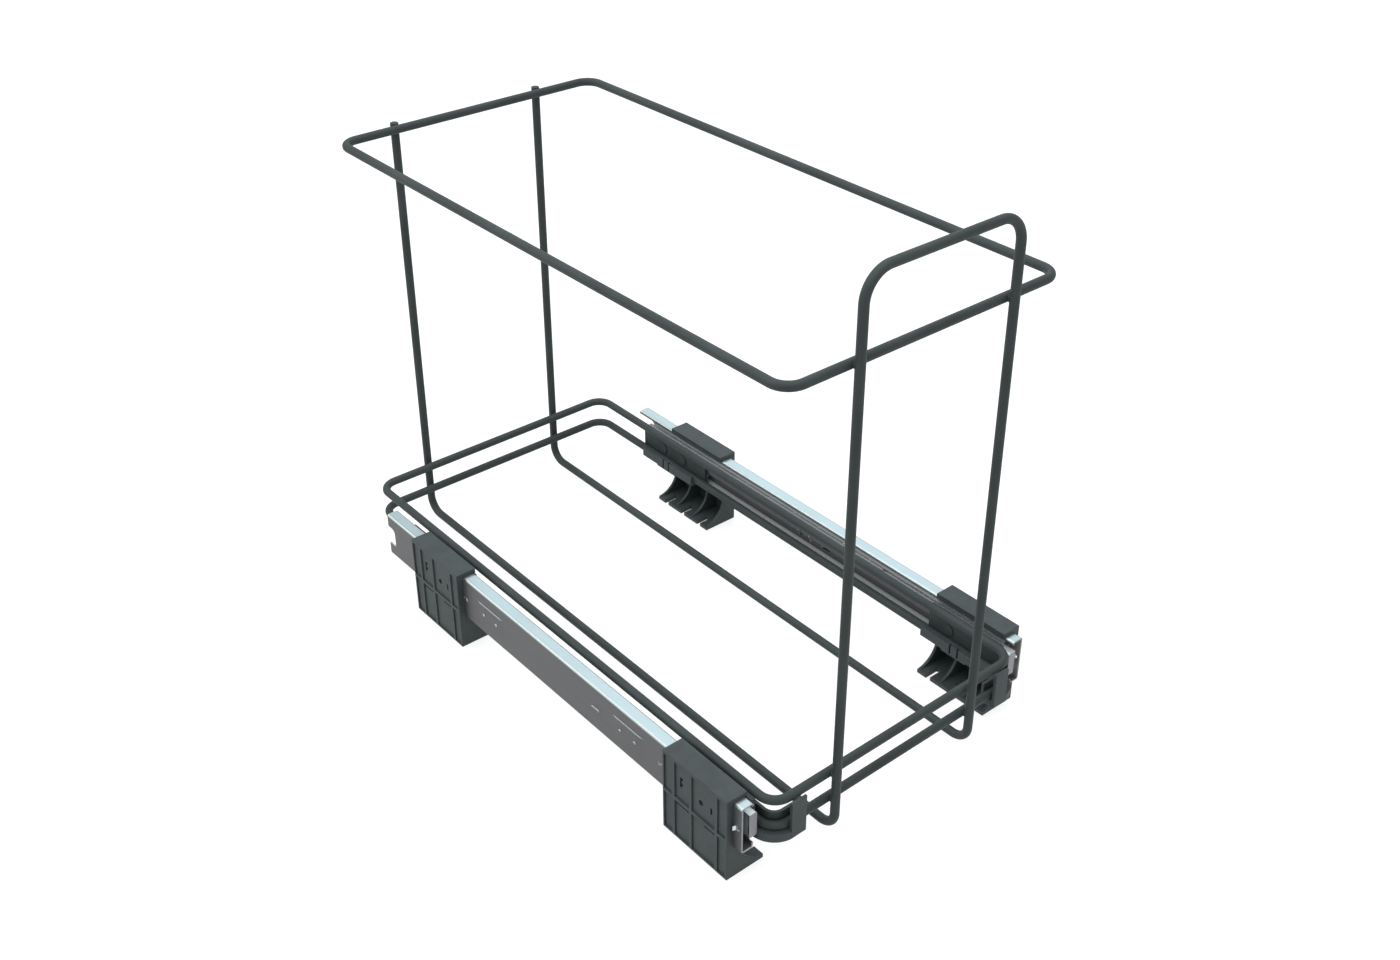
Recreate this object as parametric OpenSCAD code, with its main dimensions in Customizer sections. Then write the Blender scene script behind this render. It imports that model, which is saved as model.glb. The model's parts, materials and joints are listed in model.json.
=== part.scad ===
// Pull out bin frame: a wire basket on two full extension ball slides, held to the
// cabinet floor by four clip-on brackets. Millimetres, +Z up, the front is at -Y and
// the origin is on the cabinet floor at the middle of the frame.

/* [Wire basket] */
// Diameter of all the wire
wire_d = 6; // [5:0.5:7]
// Width of the rim and of the base rings, wire centre to wire centre
basket_w = 212; // [180:2:260]
// Length of the rim and of the base rings, wire centre to wire centre
basket_l = 448; // [440:2:480]
// Corner radius of the rim and of the base rings, at the wire's centre
corner_r = 12; // [10:1:16]
// Height of the top rim
rim_z = 334; // [250:1:400]
// Height of the upper base ring
upper_ring_z = 56; // [54:1:62]
// Height of the lower base ring
lower_ring_z = 36; // [35:0.5:38]
// Distance between the two legs of the handle wire
leg_gap = 120; // [90:2:140]
// Height of the handle bar above the rim
handle_rise = 53; // [40:1:80]
// Radius of the two handle bends, at the wire's centre
handle_r = 18; // [12:1:30]
// Height of the runs that carry the bin
floor_run_z = 14; // [10:1:20]
// Radius of the bends between the floor runs and the uprights
floor_r = 12; // [8:1:20]
// Diameter of the weld at each wire crossing
weld_d = 3.6; // [2:0.2:4.5]

/* [Slides] */
// Length of the outer rail
rail_l = 400; // [390:1:420]
// Height of the outer rail
rail_h = 35; // [34:0.5:37]
// Depth of the outer rail, web to lip
rail_w = 9.3; // [9:0.1:10]
// Height of the slide's centre line
rail_z = 42; // [41:0.5:44]
// Depth of the whole slide, outer web to inner web
slide_w = 12.1; // [11.8:0.1:13]
// Sheet thickness of the outer and inner rails
sheet_t = 1.2; // [1:0.1:1.4]
// Sheet thickness of the middle rail
mid_t = 1; // [0.8:0.1:1.2]
// Outside bend radius of the outer and inner rails
bend_r = 1.6; // [1.5:0.1:2]
// Height of the upper lip on the outer rail
lip_h = 2.4; // [1.7:0.1:2.5]
// Height of the lower lip on the outer rail
lip_low = 3.9; // [3:0.1:3.9]
// Set back of the outer rail behind the rings' front run
rail_setback = 6.6; // [4:0.2:10]
// Depth of the inner rail's flanges
inner_w = 6; // [5.5:0.1:6.2]
// Diameter of the bearing balls
ball_d = 2.5; // [2.2:0.1:2.6]
// Gap between a ball and each raceway
race_gap = 0.3; // [0.2:0.05:0.4]
// Balls along each track
ball_count = 6; // [4:1:8]
// Length of the ball cages
cage_l = 160; // [120:5:170]
// Sheet thickness of the ball cages
cage_t = 0.8; // [0.6:0.1:0.8]
// Play of a ball in its cage
cage_play = 0.1; // [0.05:0.05:0.2]
// Space for the outer cage between the outer and middle webs
cage_space = 1.6; // [1.5:0.1:1.8]
// Length of the plastic stop in the front end of the inner rail
stop_l = 14; // [8:1:20]
// Rise of the middle rail's upper edge
mid_lip = 1.4; // [0.8:0.1:1.4]
// Set back of the middle rail's front end
mid_front = 8; // [7:0.1:10]
// Set back of the middle rail's rear end
mid_rear = 19.8; // [9:0.2:20]
// Set back of the inner rail's rear end
inner_rear = 11.1; // [9:0.1:14]
// Width of the groove along the inner web
groove_w = 8.4; // [6:0.2:9]
// Depth of that groove
groove_d = 2; // [1:0.1:2.5]
// Distance of its middle below the slide's centre line
groove_drop = 3.4; // [3:0.1:3.6]
// Depth of the notch in the rear end of the outer web
notch_l = 8.6; // [6:0.2:9]
// Height of that notch
notch_h = 14.5; // [10:0.5:16]
// Radius in the notch's upper corner
notch_r = 4; // [2:0.5:5]

/* [Stampings] */
// Length of the raised pads on the outer web
pad_l = 25; // [20:1:30]
// Height of those pads
pad_h = 15.5; // [12:0.5:18]
// How far the pads stand out of the web
pad_t = 0.7; // [0.2:0.1:0.8]
// Length of the slope at each end of a pad
pad_slope = 3; // [2:0.5:4]
// Centre of the front pad, behind the rail's front end
pad_front = 108; // [100:1:115]
// Centre of the rear pad, behind the rail's front end
pad_rear = 263; // [255:1:268]
// Spacing of the two studs on a pad
dot_gap = 15; // [10:1:18]
// Diameter of those studs
dot_d = 2.2; // [1.5:0.1:3]
// Length of the short bar between the pads
web_bar_l = 7.5; // [5:0.5:10]
// Height of that bar
web_bar_h = 1.4; // [0.8:0.1:2]
// How far it stands out of the web
web_bar_t = 0.9; // [0.3:0.1:1.2]
// Centre of the bar, behind the rail's front end
web_bar_y = 142; // [130:1:160]
// Diameter of the hole beside each lance of the outer web
tool_hole_d = 3; // [2:0.2:4]
// Distance of the front hole from the rail's front end
tool_hole_y = 3.2; // [2.6:0.2:3.4]
// Length of the front lance, the two others are twice as long
lance_l = 0.9; // [0.8:0.1:1.1]
// How far the front lance stands out of the web, three times as far as the two others
lance_t = 2.1; // [1.2:0.1:2.4]
// Height of the front lance, twice that of the two others
lance_h = 3.2; // [2:0.1:3.4]
// Diameter of the round hole in the inner web
inner_hole_d = 5; // [4:0.2:6]
// Length of the oblong hole in the inner web
inner_slot_l = 10; // [8:0.5:12]
// Width of that hole
inner_slot_w = 3; // [1.6:0.1:3.4]

/* [Brackets] */
// Length of a bracket along the rail
bracket_l = 60.2; // [56:0.2:66]
// Distance between the front and rear brackets
bracket_pitch = 289.5; // [270:0.5:300]
// Set back of the front bracket from the rail's front end
bracket_setback = 7.2; // [6.6:0.2:12]
// Thickness of the bracket behind the rail
bracket_wall = 5.1; // [4:0.1:8]
// Thickness of the roof over the rail
roof_t = 2.9; // [2:0.1:4]
// Thickness of the lip that hooks over the rail
roof_lip_t = 1; // [0.8:0.1:1.1]
// Reach of that lip below the roof
roof_lip_h = 1.2; // [0.6:0.1:2]
// Play between a bracket and its rail
snap_gap = 0.1; // [0.05:0.05:0.2]
// Length of the foot, outer face to tip
foot_l = 29.5; // [26:0.5:32]
// Thickness of the foot
foot_t = 3.2; // [2.5:0.1:4]
// Thickness of the shelf under the rail
shelf_t = 2.4; // [2:0.1:4]
// Thickness of the gussets and of the wall below the shelf
gusset_t = 2; // [1.6:0.1:3]
// Radius of the hollow edge of the gussets
gusset_r = 18.5; // [16:0.5:19]
// Width of the screw slots in the foot
slot_w = 4; // [3.5:0.1:5]
// Length of the screw slots
slot_l = 12; // [9:0.5:14]
// Spacing of the screw slots
slot_pitch = 20; // [18:0.5:21]
// Width of the ribs on the outer face
face_rib = 2.4; // [1.6:0.1:3]
// Depth of the panels between those ribs
face_depth = 1; // [0.5:0.1:1.5]
// Width of the border round those panels
face_border = 1.5; // [1:0.1:2]
// Width of the border above those panels
face_top = 2.2; // [1.5:0.1:3]
// Diameter of the round mark in the upper panels
mark_d = 4; // [3:0.2:5]
// Width of the thin marks in the panels
mark_w = 1; // [0.8:0.1:1.4]
// Width of the broad marks in the panels
mark_t = 1.7; // [1.4:0.1:2]
// Height of the level rib on the outer face
face_rib_z = 31.4; // [28:0.2:34]

/* [Ring carriers] */
// Thickness of a carrier behind its ring
plate_t = 3.3; // [3:0.1:4]
// Play between a carrier and its ring
ring_fit = 0.1; // [0.05:0.05:0.3]
// Wall of the clip round the lower ring
clip_t = 2; // [1.6:0.1:2.5]
// Height of the clip's inner wall above the ring's centre
clip_rise = 3.6; // [2:0.1:4.5]
// Width of the slits beside the clip's finger
slit_w = 1.4; // [0.8:0.1:1.6]
// Width of that finger
finger_w = 6.8; // [4:0.2:8]
// Length of the clip's deep part under the finger
clip_deep_l = 22; // [16:1:30]
// Height of the relief under the rest of the clip
clip_relief = 1.3; // [0.8:0.1:1.5]
// Length of a rear carrier
rear_carrier_l = 76.5; // [70:0.5:79]
// Length of the clip on a rear carrier
rear_clip_l = 61; // [50:1:66]
// Distance from the inner rail's rear end to the middle of a rear carrier
rear_carrier_y = 41; // [40:0.5:50]
// Distance from the middle of a rear carrier to its finger
rear_finger = 1; // [0:0.2:6]
// Length of a front carrier behind the ring's corner
front_carrier_l = 63; // [50:1:70]
// Distance from the rear end of a front carrier to its finger
front_finger = 30.4; // [24:0.1:36]
// Length of a front carrier along the ring's front run
front_wing = 10; // [6:1:20]
// How far the front plate reaches into the corner
block_in = 2; // [1:0.5:4]
// Thickness of that plate
front_plate_t = 2; // [1.6:0.1:3]
// Height of a front carrier above the inner rail
front_rise = 4.4; // [2:0.1:4.5]
// Depth of the corner's flange below the lower ring's centre
flange_drop = 7.8; // [6:0.1:9]
// Height of that flange
flange_h = 5.7; // [5:0.1:6]
// Height of the corner's inner wall above the lower ring's centre
corner_rise = 7.2; // [6:0.1:11]
// Length of that wall behind the corner
corner_wall_l = 12; // [8:1:20]
// Diameter of the carrier pins
pin_d = 4; // [3:0.1:5]
// Diameter of their heads
pin_head_d = 7.6; // [6:0.1:8]
// Height of their heads
pin_head_h = 1.2; // [0.8:0.1:1.6]
// Height of the heads above the carrier's face
pin_proud = 0.8; // [0:0.1:1]
// Play round the pins
pin_fit = 0.05; // [0.02:0.01:0.1]
// Play round their heads
pin_head_fit = 0.1; // [0.1:0.05:0.4]
// Distance between the two pins of a carrier
pin_gap = 24; // [16:1:30]
// Height of the pins above the slide's centre line
pin_rise = 1.5; // [0:0.1:3]

/* [Hidden] */
$fn = 48;
past = 1;                                     // how far a cut runs past a face
half_w = basket_w / 2;
half_l = basket_l / 2;
wire_r = wire_d / 2;
leg_x = leg_gap / 2;
leg_y = half_l + wire_d;                      // the legs touch the rings from outside
handle_z = rim_z + handle_rise;
upright_top = rim_z + wire_r;                 // the rear ends stop level with the rim
corner_x = half_w - corner_r;                 // centres of the rings' corner arcs
corner_y = half_l - corner_r;

plate_x = half_w + wire_r + ring_fit;         // carrier face against the ring
inner_x = half_w + wire_r + plate_t;          // inner rail web against the carriers
web_x = inner_x + slide_w;                    // outer face of the outer web
lip_x = web_x - rail_w;                       // inner edge of the outer rail
rail_y0 = rail_setback - half_l;
rail_y1 = rail_y0 + rail_l;
rail_mid = (rail_y0 + rail_y1) / 2;
inner_y1 = rail_y1 - inner_rear;
mid_y0 = rail_y0 + mid_front;
mid_y1 = rail_y1 - mid_rear;

outer_race = rail_h / 2 - sheet_t;            // heights above the slide's centre line
outer_ball_h = outer_race - race_gap - ball_d / 2;
mid_h = outer_race - 2 * race_gap - ball_d;
inner_race = mid_h - mid_t;
inner_ball_h = inner_race - race_gap - ball_d / 2;
inner_h = inner_race - 2 * race_gap - ball_d;
mid_x = web_x - sheet_t - cage_space;         // outer face of the middle web
mid_edge = lip_x + snap_gap;                  // inner edge of the middle rail
inner_edge = inner_x + inner_w;               // outer edge of the inner rail
groove_r = groove_w * groove_w / 8 / groove_d + groove_d / 2;
groove_x = inner_x + groove_d - groove_r;     // middle of the groove's circle
groove_z = rail_z - groove_drop;
low_lance = [2 * lance_l, lance_t / 3, lance_h / 2];
outer_ball_x = (lip_x + web_x) / 2;
inner_ball_x = (mid_edge + inner_edge) / 2;
outer_cage_x = (mid_x + web_x - sheet_t) / 2;
inner_cage_x = (inner_edge + mid_x - mid_t) / 2;
ball_pitch = cage_l / ball_count;

out_x = web_x + bracket_wall;                 // outer face of the brackets
foot_x = out_x - foot_l;                      // tip of the feet
rail_bottom = rail_z - rail_h / 2;
roof_z = rail_z + rail_h / 2 + snap_gap;      // under the roof
shelf_z = rail_bottom - snap_gap;             // top of the shelf
bracket_h = roof_z + roof_t;
roof_x = lip_x - snap_gap - roof_lip_t - snap_gap;
gusset_x = foot_x + gusset_r - 1;             // where the hollow edges stand upright
bracket_y = [rail_y0 + bracket_setback + bracket_l / 2,
             rail_y0 + bracket_setback + bracket_l / 2 + bracket_pitch];
face_rib_y = [19.6, 3.5, -20.1] * bracket_l / 60.2;
gusset_y = [-bracket_l / 2 + gusset_t / 2, -slot_pitch / 2, slot_pitch / 2, bracket_l / 2 - gusset_t / 2];

carrier_top = rail_z + inner_h;               // rear carriers are as high as the inner rail
front_top = carrier_top + front_rise;
clip_bottom = lower_ring_z - wire_r - clip_t;
clip_x = half_w - wire_r - clip_t;            // inner face of the clip
bore_r = wire_r + ring_fit;                   // hole for the ring in the carriers
flange_z = lower_ring_z - flange_drop;
corner_top = lower_ring_z + corner_rise;
pin_z = rail_z + pin_rise;
rear_y = inner_y1 - rear_carrier_y;
rear_finger_y = rear_y + rear_finger;
front_y1 = front_carrier_l - corner_y;        // rear end of the front carriers
front_finger_y = front_y1 - front_finger;

wire_colour = [0.25, 0.28, 0.28];
plastic_colour = [0.29, 0.33, 0.33];
steel_colour = [0.72, 0.76, 0.78];
ball_colour = [0.85, 0.86, 0.88];
cage_colour = [0.2, 0.22, 0.22];

// A straight wire from one point, along X, Y or Z
module wire_x(from, len) { translate(from) rotate([0, 90, 0]) cylinder(d = wire_d, h = len); }
module wire_y(from, len) { translate(from) rotate([-90, 0, 0]) cylinder(d = wire_d, h = len); }
module wire_z(from, len) { translate(from) cylinder(d = wire_d, h = len); }

// A quarter bend in the XY plane, from +X to +Y round its own centre
module wire_bend(r) { rotate_extrude(angle = 90) translate([r, 0]) circle(d = wire_d); }

// A block given by its lowest and highest corners
module block(lo, hi) { translate(lo) cube(hi - lo); }

// A block with its four edges along Y rounded
module round_block(lo, hi, r) {
  block([lo.x + r, lo.y, lo.z], [hi.x - r, hi.y, hi.z]);
  block([lo.x, lo.y, lo.z + r], [hi.x, hi.y, hi.z - r]);
  for (x = [lo.x + r, hi.x - r], z = [lo.z + r, hi.z - r])
    translate([x, lo.y, z]) rotate([-90, 0, 0]) cylinder(r = r, h = hi.y - lo.y);
}

// A level slot with round ends through a web, centred at y and z
module web_slot(x0, x1, y, z) {
  reach = (inner_slot_l - inner_slot_w) / 2;
  block([x0, y - reach, z - inner_slot_w / 2], [x1, y + reach, z + inner_slot_w / 2]);
  for (s = [-1, 1]) translate([x0, y + s * reach, z]) rotate([0, 90, 0])
    cylinder(d = inner_slot_w, h = x1 - x0);
}

module on_left() { mirror([1, 0, 0]) children(); }

// One closed ring of wire at height z
module ring(z) {
  color(wire_colour) translate([0, 0, z]) {
    for (s = [-1, 1]) {
      wire_x([-corner_x, s * half_l, 0], 2 * corner_x);
      wire_y([s * half_w, -corner_y, 0], 2 * corner_y);
    }
    for (a = [0, 1], b = [0, 1])
      mirror([a, 0, 0]) mirror([0, b, 0]) translate([corner_x, corner_y, 0]) wire_bend(corner_r);
  }
}

module top_rim() { ring(rim_z); }
module upper_ring() { ring(upper_ring_z); }
module lower_ring() { ring(lower_ring_z); }

// Handle, legs, floor runs and rear uprights are one bent wire
module handle_wire() {
  color(wire_colour) {
    wire_x([-leg_x + handle_r, -leg_y, handle_z], 2 * (leg_x - handle_r));
    for (s = [0, 1]) mirror([s, 0, 0]) {
      translate([leg_x - handle_r, -leg_y, handle_z - handle_r]) rotate([90, 0, 0]) wire_bend(handle_r);
      wire_z([leg_x, -leg_y, floor_run_z + floor_r], handle_z - handle_r - floor_run_z - floor_r);
      translate([leg_x, floor_r - leg_y, floor_run_z + floor_r]) rotate([0, 90, 180]) wire_bend(floor_r);
      wire_y([leg_x, floor_r - leg_y, floor_run_z], 2 * (leg_y - floor_r));
      translate([leg_x, leg_y - floor_r, floor_run_z + floor_r]) rotate([0, 90, 0]) wire_bend(floor_r);
      wire_z([leg_x, leg_y, floor_run_z + floor_r], upright_top - floor_run_z - floor_r);
    }
  }
}

// A weld where each ring and the rim cross the legs and the uprights
module weld_beads() {
  color(wire_colour)
    for (x = [-leg_x, leg_x], y = [-1, 1], z = [lower_ring_z, upper_ring_z, rim_z])
      translate([x, y * (half_l + wire_r), z]) sphere(d = weld_d);
}

// Outer rail: a lipped channel that opens inwards
module outer_rail() {
  top = rail_z + rail_h / 2;
  color(steel_colour) difference() {
    union() {
      round_block([lip_x, rail_y0, rail_bottom], [web_x, rail_y1, top], bend_r);
      for (y = [pad_front, pad_rear]) pad(rail_y0 + y);
      for (l = lances()) lance(l[0], l[1], l[2]);
      web_bar();
    }
    block([lip_x + sheet_t, rail_y0 - past, rail_bottom + sheet_t],
          [web_x - sheet_t, rail_y1 + past, top - sheet_t]);
    block([lip_x - past, rail_y0 - past, rail_bottom + lip_low],
          [lip_x + sheet_t + past, rail_y1 + past, top - lip_h]);
    for (l = lances()) translate([web_x - sheet_t - past, l[0], rail_z])
      rotate([0, 90, 0]) cylinder(d = tool_hole_d, h = sheet_t + 2 * past);
    rear_notch();
  }
}

// A low pad on the outer web, sloped at both ends, with two studs
module pad(y) {
  end = pad_l / 2 + pad_slope;
  translate([web_x, y, rail_z - pad_h / 2]) linear_extrude(pad_h)
    polygon([[-sheet_t / 2, -end], [0, -end], [pad_t, -pad_l / 2],
             [pad_t, pad_l / 2], [0, end], [-sheet_t / 2, end]]);
  for (s = [-1, 1]) translate([web_x, y + s * dot_gap / 2, rail_z]) rotate([0, 90, 0])
    cylinder(d = dot_d, h = 2.5 * pad_t);
}

// Centres of the holes beside the lances, each with its lance's side and size
function lances() = [[rail_y0 + tool_hole_y, 1, [lance_l, lance_t, lance_h]],
                     [bracket_y[0] + bracket_l / 2 + 3 * tool_hole_d, -1, low_lance],
                     [bracket_y[1] - bracket_l / 2 - low_lance[0] - 0.6 * tool_hole_d, 1, low_lance]];

// A tongue of the web that is bent out, beside the hole at y
module lance(y, side, size) {
  root = y + side * tool_hole_d / 2;
  tip = root + side * size[0];
  translate([web_x, 0, rail_z - size[2] / 2]) linear_extrude(size[2])
    polygon([[-sheet_t / 2, root - side * sheet_t / 4], [0, root], [size[1], tip], [-sheet_t / 2, tip]]);
}

// The short bar that is pressed out of the web between the pads
module web_bar() {
  y = rail_y0 + web_bar_y;
  block([web_x - sheet_t / 2, y - web_bar_l / 2, rail_z - web_bar_h / 2],
        [web_x + web_bar_t, y + web_bar_l / 2, rail_z + web_bar_h / 2]);
}

// Notch in the rear end of the outer web, round in its upper corner
module rear_notch() {
  x0 = web_x - sheet_t - past;
  x1 = web_x + past;
  y0 = rail_y1 - notch_l;
  z0 = rail_z - notch_h / 2;
  z1 = rail_z + notch_h / 2;
  block([x0, y0, z0], [x1, rail_y1 + past, z1 - notch_r]);
  block([x0, y0 + notch_r, z0], [x1, rail_y1 + past, z1]);
  translate([x0, y0 + notch_r, z1 - notch_r]) rotate([0, 90, 0]) cylinder(r = notch_r, h = x1 - x0);
}

// Middle rail: a channel inside the outer one, that opens inwards too
module middle_rail() {
  color(steel_colour) difference() {
    union() {
      block([mid_edge, mid_y0, rail_z - mid_h], [mid_x, mid_y1, rail_z + mid_h]);
      block([mid_edge, mid_y0, rail_z], [mid_edge + mid_t, mid_y1, rail_z + mid_h + mid_lip]);
    }
    block([mid_edge - past, mid_y0 - past, rail_z - inner_race],
          [mid_x - mid_t, mid_y1 + past, rail_z + inner_race]);
  }
}

// Plastic stop that fills the front end of the inner rail
module inner_stop() {
  color(cage_colour) difference() {
    block([inner_x + sheet_t, rail_y0 + sheet_t, rail_z - inner_h + sheet_t],
          [inner_edge - snap_gap, rail_y0 + sheet_t + stop_l, rail_z + inner_h - sheet_t]);
    block([inner_x + 2 * sheet_t, rail_y0 + 3 * sheet_t, rail_z - inner_h + 3 * sheet_t],
          [inner_edge - sheet_t, rail_y0 + sheet_t + stop_l + past, rail_z + inner_h - 3 * sheet_t]);
  }
}

// Inner rail: a channel that opens outwards, closed at its front end, with a groove along its
// web between the carriers
module inner_rail() {
  color(steel_colour) difference() {
    union() {
      difference() {
        round_block([inner_x, rail_y0, rail_z - inner_h],
                    [inner_edge + 2 * bend_r, inner_y1, rail_z + inner_h], bend_r);
        block([inner_edge, rail_y0 - past, rail_z - inner_h - past],
              [inner_edge + 3 * bend_r, inner_y1 + past, rail_z + inner_h + past]);
        block([inner_x + sheet_t, rail_y0 + sheet_t, rail_z - inner_h + sheet_t],
              [inner_edge + past, inner_y1 + past, rail_z + inner_h - sheet_t]);
      }
      intersection() {
        groove_rod(groove_r + sheet_t, sheet_t);
        block([inner_x + sheet_t / 2, rail_y0, rail_z - inner_h], [inner_edge, inner_y1, rail_z + inner_h]);
      }
    }
    groove_rod(groove_r, 0);
    for (y = pin_places()) pin_hole(y, inner_x - past, inner_x + sheet_t + past, pin_d / 2 + pin_fit);
    inner_marks();
  }
}

// A rod along the groove, which ends out of sight behind the carriers
module groove_rod(r, wall) {
  y0 = front_y1 - groove_d - wall;
  y1 = rear_y - rear_carrier_l / 2 + groove_d + wall;
  translate([groove_x, y0, groove_z]) rotate([-90, 0, 0]) cylinder(r = r, h = y1 - y0);
}

// The round hole, the slit and the oblong hole in the middle of the inner web
module inner_marks() {
  x0 = inner_x - past;
  x1 = inner_x + groove_d + sheet_t + past;
  slit_y = rail_mid - 1.36 * inner_hole_d;
  translate([x0, rail_mid + 0.68 * inner_hole_d, rail_z]) rotate([0, 90, 0])
    cylinder(d = inner_hole_d, h = x1 - x0);
  block([x0, slit_y - mark_w, rail_z - inner_hole_d], [x1, slit_y, rail_z + 0.68 * inner_hole_d]);
  web_slot(x0, x1, rail_mid - 4.76 * inner_hole_d, rail_z - mark_w);
}

// A ball cage: two strips with a hole for each ball, joined by a web
module cage(web, ball_x, ball_h) {
  color(cage_colour) difference() {
    block([ball_x - ball_d, rail_mid - cage_l / 2, rail_z - ball_h - cage_t / 2],
          [web + cage_t / 2, rail_mid + cage_l / 2, rail_z + ball_h + cage_t / 2]);
    block([ball_x - ball_d - past, rail_mid - cage_l / 2 - past, rail_z - ball_h + cage_t / 2],
          [web - cage_t / 2, rail_mid + cage_l / 2 + past, rail_z + ball_h - cage_t / 2]);
    for (y = ball_places()) translate([ball_x, y, rail_z - ball_h - cage_t])
      cylinder(d = ball_d + 2 * cage_play, h = 2 * (ball_h + cage_t));
  }
}

module balls(ball_x, ball_h) {
  color(ball_colour) for (y = ball_places(), s = [-1, 1])
    translate([ball_x, y, rail_z + s * ball_h]) sphere(d = ball_d);
}

function ball_places() = [for (i = [0 : ball_count - 1]) rail_mid - cage_l / 2 + (i + 0.5) * ball_pitch];

module outer_cage() { cage(outer_cage_x, outer_ball_x, outer_ball_h); }
module inner_cage() { cage(inner_cage_x, inner_ball_x, inner_ball_h); }
module outer_balls() { balls(outer_ball_x, outer_ball_h); }
module inner_balls() { balls(inner_ball_x, inner_ball_h); }

// Clip-on bracket, centred at y, with three screw slots in its foot
module bracket(y) {
  y0 = -bracket_l / 2;
  y1 = bracket_l / 2;
  color(plastic_colour) translate([0, y, 0]) difference() {
    union() {
      block([web_x + snap_gap, y0, shelf_z - shelf_t], [out_x, y1, bracket_h]);
      block([out_x - gusset_t - face_depth, y0, 0], [out_x, y1, shelf_z]);
      block([roof_x, y0, roof_z], [out_x, y1, bracket_h]);
      block([roof_x, y0, roof_z - roof_lip_h], [roof_x + roof_lip_t, y1, bracket_h]);
      block([gusset_x, y0, shelf_z - shelf_t], [out_x, y1, shelf_z]);
      block([foot_x, y0, 0], [out_x, y1, foot_t]);
      for (g = gusset_y) gusset(g);
    }
    for (s = [-1, 0, 1]) screw_slot(s * slot_pitch);
    face_panels();
    face_marks();
  }
}

// One gusset: a plate with a hollow edge between the foot's tip and the shelf
module gusset(y) {
  translate([0, y - gusset_t / 2, 0]) difference() {
    block([foot_x, 0, 0], [out_x, gusset_t, shelf_z]);
    translate([gusset_x - gusset_r, -past, foot_t + gusset_r]) rotate([-90, 0, 0])
      cylinder(r = gusset_r, h = gusset_t + 2 * past);
    block([foot_x - past, -past, foot_t + gusset_r], [gusset_x, gusset_t + past, shelf_z + past]);
  }
}

// A slot for a floor screw, open at the foot's tip
module screw_slot(y) {
  end_x = foot_x + slot_l - slot_w / 2;
  block([foot_x - past, y - slot_w / 2, -past], [end_x, y + slot_w / 2, foot_t + past]);
  translate([end_x, y, -past]) cylinder(d = slot_w, h = foot_t + 2 * past);
}

// The eight shallow panels on the outer face
module face_panels() {
  end_y = bracket_l / 2 - face_border + face_rib / 2;
  edges = concat([end_y], face_rib_y, [-end_y]);
  rows = [[face_border, face_rib_z - face_rib / 2], [face_rib_z + face_rib / 2, bracket_h - face_top]];
  for (i = [0 : 3], row = rows)
    block([out_x - face_depth, edges[i + 1] + face_rib / 2, row[0]],
          [out_x + past, edges[i] - face_rib / 2, row[1]]);
}

// The small blind marks in the panels
module face_marks() {
  x0 = out_x - face_depth - bracket_wall / 3;
  x1 = out_x + past;
  long = 7.8 * mark_w;
  bar_y = (face_rib_y[0] + face_rib_y[1]) / 2 + mark_w;
  bar_z = rail_z + mark_w;
  block([x0, bar_y, bar_z], [x1, bar_y + mark_t, bar_z + long]);
  for (z = [bar_z + 1.6 * mark_w, bar_z + long - mark_t])
    block([x0, bar_y - 1.4 * mark_w, z], [x1, bar_y + mark_t, z + mark_t]);
  translate([x0, face_rib_y[1] - 2.2 * mark_d, rail_z + 2 * mark_w]) rotate([0, 90, 0])
    cylinder(d = mark_d, h = x1 - x0);
  block([x0, face_rib_y[2] + 4.4 * mark_w, rail_z - mark_w / 2],
        [x1, face_rib_y[2] + 4.4 * mark_w + mark_t, rail_z + 4.6 * mark_w]);
  line_z = face_rib_z - face_rib / 2 - 2.9 * mark_w;
  block([x0, face_rib_y[1] + 1.4 * mark_w, line_z], [x1, face_rib_y[0] - 1.5 * mark_w, line_z + mark_w]);
  block([x0, face_rib_y[2] + 1.5 * mark_w, line_z], [x1, -8.3 * mark_w, line_z + mark_w]);
}

// Clip round the lower ring: an open trough with a finger between two slits
module ring_clip(y0, y1, finger_y) {
  face = clip_x - ring_fit;
  top = lower_ring_z + clip_rise;
  deep = clip_deep_l / 2;
  difference() {
    block([face, y0, clip_bottom], [plate_x + past, y1, top]);
    translate([half_w, y0 - past, lower_ring_z]) rotate([-90, 0, 0])
      cylinder(r = bore_r, h = y1 - y0 + 2 * past);
    block([half_w - bore_r, y0 - past, lower_ring_z], [half_w + bore_r, y1 + past, top + past]);
    for (s = [-1, 1]) translate([0, finger_y + s * finger_w / 2, 0])
      block([face - past, -slit_w / 2, clip_bottom + clip_t / 2], [half_w, slit_w / 2, top + past]);
    for (y = [[y0 - past, finger_y - deep], [finger_y + deep, y1 + past]])
      block([face - past, y[0], clip_bottom - past], [face + clip_t, y[1], clip_bottom + clip_relief]);
  }
}

function pin_places() = [for (s = [-1, 1], y = [front_finger_y, rear_finger_y]) y + s * pin_gap / 2];

module pin_hole(y, x0, x1, r) {
  translate([x0, y, pin_z]) rotate([0, 90, 0]) cylinder(r = r, h = x1 - x0);
}

// Holes for a carrier's pins, with room for their heads
module carrier_holes() {
  for (y = pin_places()) {
    pin_hole(y, plate_x - past, inner_x + past, pin_d / 2 + pin_fit);
    pin_hole(y, plate_x - past, plate_x + pin_head_h - pin_proud, pin_head_d / 2 + pin_head_fit);
  }
}

// Rear carrier: a plate on the inner rail with a clip for the lower ring
module rear_carrier() {
  color(plastic_colour) difference() {
    union() {
      block([plate_x, rear_y - rear_carrier_l / 2, clip_bottom],
            [inner_x, rear_y + rear_carrier_l / 2, carrier_top]);
      ring_clip(rear_y - rear_clip_l / 2, rear_y + rear_clip_l / 2, rear_finger_y);
    }
    carrier_holes();
  }
}

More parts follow.
